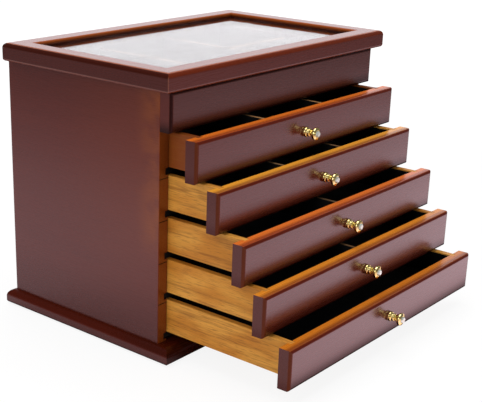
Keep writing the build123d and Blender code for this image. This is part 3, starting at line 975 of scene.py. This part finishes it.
# Felt dots under the lid: low domes turned about their own middles
def feltDots():
    look = feltLook
    low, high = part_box("lid_bumpers")
    radius = (high.y - low.y) / 2
    turn = np.linspace(0, 2 * math.pi, look["dotColumns"], endpoint=False)[None, :]
    bend = np.linspace(0, math.pi / 2, look["dotRings"])[:, None]
    out = np.concatenate([np.zeros((1, 1)), radius * np.cos(bend) ** look["domePower"]])
    fall = np.concatenate([np.zeros((1, 1)), (high.z - low.z) * np.sin(bend)])
    grids = []
    for x in (low.x + radius, high.x - radius):
        grid = np.empty((len(out), turn.shape[1], 3))
        grid[..., 0] = x + out * np.cos(turn)
        grid[..., 1] = (low.y + high.y) / 2 + out * np.sin(turn)
        grid[..., 2] = high.z - fall
        grids.append(grid)
    felt = pressedFelt("dotFelt", look["dot"])
    dots = pieceFrom("lid_felt_dots", grids, felt, bodyWith["lid_bumpers"], wrap=True)
    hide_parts("lid_bumpers")


paintCase()
paintLid()
for number, ridge in zip(drawerNumbers, drawerLook["ridges"]):
    paintFront(number, ridge)
print("mahogany lacquered")

shelfBlack = blackShelf()
knobBrass = polishedBrass("knobBrass", brassLook["knobRoughness"])
hingeBrass = polishedBrass("hingeBrass", brassLook["hingeRoughness"])
crystal = foiledCrystal()
velvet = blackVelvet()


# The shelf under a drawer, and everything of the drawer but its front
def dressDrawer(number):
    look = drawerLook
    wallShadeRed, bareShare = look["wallShadeRed"][number - 1], look["bareDividers"][number - 1]
    wallSeat = [number * v for v in look["wallSeat"]]
    x, y, z = look["bottomSeat"]
    name = f"drawer_{number}_"
    dress(f"shelf_{number}", shelfBlack)
    dress(name + "walls", honeyWood(f"walls{number}", 1, wallSeat, wallShadeRed))
    dress(name + "bottom", honeyWood(f"bottom{number}", 0, (number * x, number * y, z)))
    dress(name + "knob", knobBrass)
    dress(name + "crystal", crystal)
    if name + "dividers" in nodes:
        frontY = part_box(name + "dividers")[0].y
        dress(name + "dividers", dividerBoard(f"divider{number}", frontY, bareShare))
    velvetLining(name + "lining", name + "velvet", velvet)


for number in drawerNumbers:
    dressDrawer(number)
dress("compartment_floor", shelfBlack)
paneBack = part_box("lid_pane")[1].y  # the compartment's dividers are bare up to here, so all along
dress("compartment_dividers", dividerBoard("compartmentDivider", paneBack))
dress("lid_pane", clearPane())
for name in ("hinge_case_leaves", "hinge_case_screws", "hinge_lid_leaves", "hinge_lid_screws"):
    dress(name, hingeBrass)
velvetLining("compartment_lining", "compartment_velvet", velvet)
ringRolls(velvet)
baseFelt()
feltDots()
print("drawers, metal, glass and cloth done")


# Spans are in metres: polishSlope, nearSpan and polishStarts along Y, whiteFar from the middle, and
# the others along X
studio = {
    "floorSize": 8.0,
    "floorPaint": (0.70, 0.70, 0.70, 1),
    "shadowDepth": (0.15, 0.15, 0.15, 1),  # how dark the object's shadow may be to the camera
    "whiteNear": 0.88,
    "whiteFar": (0.6, 1.4),  # the floor is plain white from the second distance on
    "drop": 0.0002,  # of the floor under the felt
    "polishTint": (1.0, 0.772, 0.840, 1),  # what polish shows of the floor in front
    "polishSlope": (-0.77, -0.27),  # it brightens in a straight slope between these Y
    "polishStrengths": (0.235, 1.36),
    "polishNear": 0.15,  # more near the object
    "nearSpan": (-0.40, -0.28),
    "polishAcross": (0.94, 0.12),  # at the left, and what is added to the right
    "acrossSpan": (-0.1, 0.5),
    "polishRight": 0.60,  # less far to the right
    "rightSpan": (0.55, 1.45),
    "polishStarts": (-0.236, -0.262),  # nothing shines under the drawers
    "polishLeft": (0.725, 0.605, 0.645, 1),  # paint that polish shows on the left
    "polishLeftFar": (0.34, 0.29, 0.31, 1),
    "leftSpan": (-0.11, -0.17),
    "leftFarSpan": (-0.38, -0.74),
    "ambient": 0.38,
    "dimRoom": 0.16,
}


# The kinds of ray that a stage shader tells apart
def rayKinds(start, *kinds):
    split = start.node("LightPath").socket.node
    return [Wire(start.tree, split.outputs[f"Is {kind} Ray"]) for kind in kinds]


# What polish shows of the floor: a glow in front, brighter towards the object, and paint on the left
def polishedView(start, look):
    x, y = start.place().parts()[:2]
    far, near = look["polishSlope"]
    farStrength, nearStrength = look["polishStrengths"]
    slope = {"From Min": far, "From Max": near, "To Min": farStrength, "To Max": nearStrength}
    strength = start.node("MapRange", {}, {"Value": y, **slope})
    strength = strength + look["polishNear"] * y.step(*look["nearSpan"])
    atLeft, added = look["polishAcross"]
    strength = strength * (atLeft + added * x.step(*look["acrossSpan"]))
    strength = strength * (1 - look["polishRight"] * x.step(*look["rightSpan"]))
    strength = strength * y.step(*look["polishStarts"])
    glow = start.node("Emission", {}, {"Color": look["polishTint"], "Strength": strength})
    leftward = x.step(*look["leftFarSpan"]).share(look["polishLeft"], look["polishLeftFar"])
    paint = start.node("BsdfDiffuse", {}, {"Color": leftward})
    return start.node("MixShader", {}, {0: x.step(*look["leftSpan"]), 1: glow, 2: paint})


# A pale floor: the camera sees it near white with the object's shadow, and white further away. What
# glass shows of it is the same, and other light and polish each have their own view of it.
def paleFloor():
    look = studio
    half = look["floorSize"] / 2
    low = -look["drop"]
    corners = [(-half, -half, low), (half, -half, low), (half, half, low), (-half, half, low)]
    mesh = bpy.data.meshes.new("floor")
    mesh.from_pydata(corners, [], [(0, 1, 2, 3)])
    floor = bpy.data.objects.new("floor", mesh)
    bpy.context.scene.collection.objects.link(floor)
    material = bpy.data.materials.new("floorPaint")
    material.use_nodes = True
    material.node_tree.nodes.clear()
    start = Wire(material.node_tree)
    away = start.node("VectorMath", {"operation": "LENGTH"}, {0: start.place()}, 1)
    whiteness = look["whiteNear"] + (1 - look["whiteNear"]) * away.step(*look["whiteFar"])
    isCamera, isGlossy, isThrough = rayKinds(start, "Camera", "Glossy", "Transmission")
    plain = start.node("BsdfDiffuse", {}, {"Color": look["floorPaint"]})
    faint = start.node("BsdfDiffuse", {}, {"Color": look["shadowDepth"]})
    white = start.node("Emission", {}, {"Color": (1, 1, 1, 1), "Strength": whiteness})
    seen = start.node("AddShader", {}, {0: faint, 1: white})
    direct = start.math("MAXIMUM", isCamera, isThrough)
    mixed = start.node("MixShader", {}, {0: isGlossy, 1: plain, 2: polishedView(start, look)})
    finishWith(start.node("MixShader", {}, {0: direct, 1: mixed, 2: seen}), "Material")
    mesh.materials.append(material)


# The room: white to the camera and through glass, an even pale light on the object, and dim to polish
def paleRoom():
    world = bpy.data.worlds.new("room")
    bpy.context.scene.world = world
    world.use_nodes = True
    world.node_tree.nodes.clear()
    start = Wire(world.node_tree)
    isCamera, isGlossy, isThrough = rayKinds(start, "Camera", "Glossy", "Transmission")
    direct = start.math("MAXIMUM", isCamera, isThrough)
    unseen = studio["ambient"] - isGlossy * (studio["ambient"] - studio["dimRoom"])
    strength = direct + (1 - direct) * unseen
    finishWith(start.node("Background", {}, {"Color": (1, 1, 1, 1), "Strength": strength}), "World")


# Soft lamps: place, what each points at, width and height, radiance and tint
lamps = {
    "overhead": ((0.0, 0.0, 1.35), (0, 0, 0.2), (1.1, 1.1), 2.6, (1, 1, 1)),
    "behind": ((1.25, 1.05, 0.72), (0, 0, 0.25), (2.2, 1.1), 0.98, (1.0, 0.955, 1.0)),
    "left": ((-1.45, -0.10, 0.70), (0, 0, 0.12), (0.9, 0.9), 1.8, (1, 1, 1)),
    "front": ((-0.25, -1.60, 0.42), (0, 0, 0.12), (1.0, 0.7), 1.7, (1, 1, 1)),
}


# A lamp's power is its radiance times pi times its area
def softLamps():
    for name, (place, target, (width, height), radiance, tint) in lamps.items():
        data = bpy.data.lights.new(name, "AREA")
        data.shape = "RECTANGLE"
        data.size = width
        data.size_y = height
        data.energy = radiance * math.pi * width * height
        data.color = tint
        lamp = bpy.data.objects.new(name, data)
        lamp.location = place
        lamp.rotation_euler = (Vector(target) - Vector(place)).to_track_quat("-Z", "Y").to_euler()
        lamp.visible_camera = False
        bpy.context.scene.collection.objects.link(lamp)


# The viewer's place in metres, angles in degrees, and the lens and sensor in millimetres
view = {
    "place": (-0.7816, -0.6522, 0.4174),
    "yaw": -50.272,
    "pitch": -19.813,
    "roll": 1.317,
    "lens": 80.57,
    "sensor": 36.0,
    "nearest": 0.01,
    "shift": (0.093, 0.078),
}


def viewingCamera():
    data = bpy.data.cameras.new("camera")
    data.lens = view["lens"]
    data.sensor_width = view["sensor"]
    data.shift_x, data.shift_y = view["shift"]
    data.clip_start = view["nearest"]
    camera = bpy.data.objects.new("camera", data)
    turn = Matrix.Rotation(math.radians(view["yaw"]), 4, "Z")
    tilt = Matrix.Rotation(math.radians(90 + view["pitch"]), 4, "X")
    roll = Matrix.Rotation(math.radians(view["roll"]), 4, "Z")
    camera.matrix_world = Matrix.Translation(view["place"]) @ turn @ tilt @ roll
    bpy.context.scene.collection.objects.link(camera)
    bpy.context.scene.camera = camera


paleFloor()
paleRoom()
softLamps()
viewingCamera()
bpy.context.scene.view_settings.view_transform = "Standard"
print("studio ready")
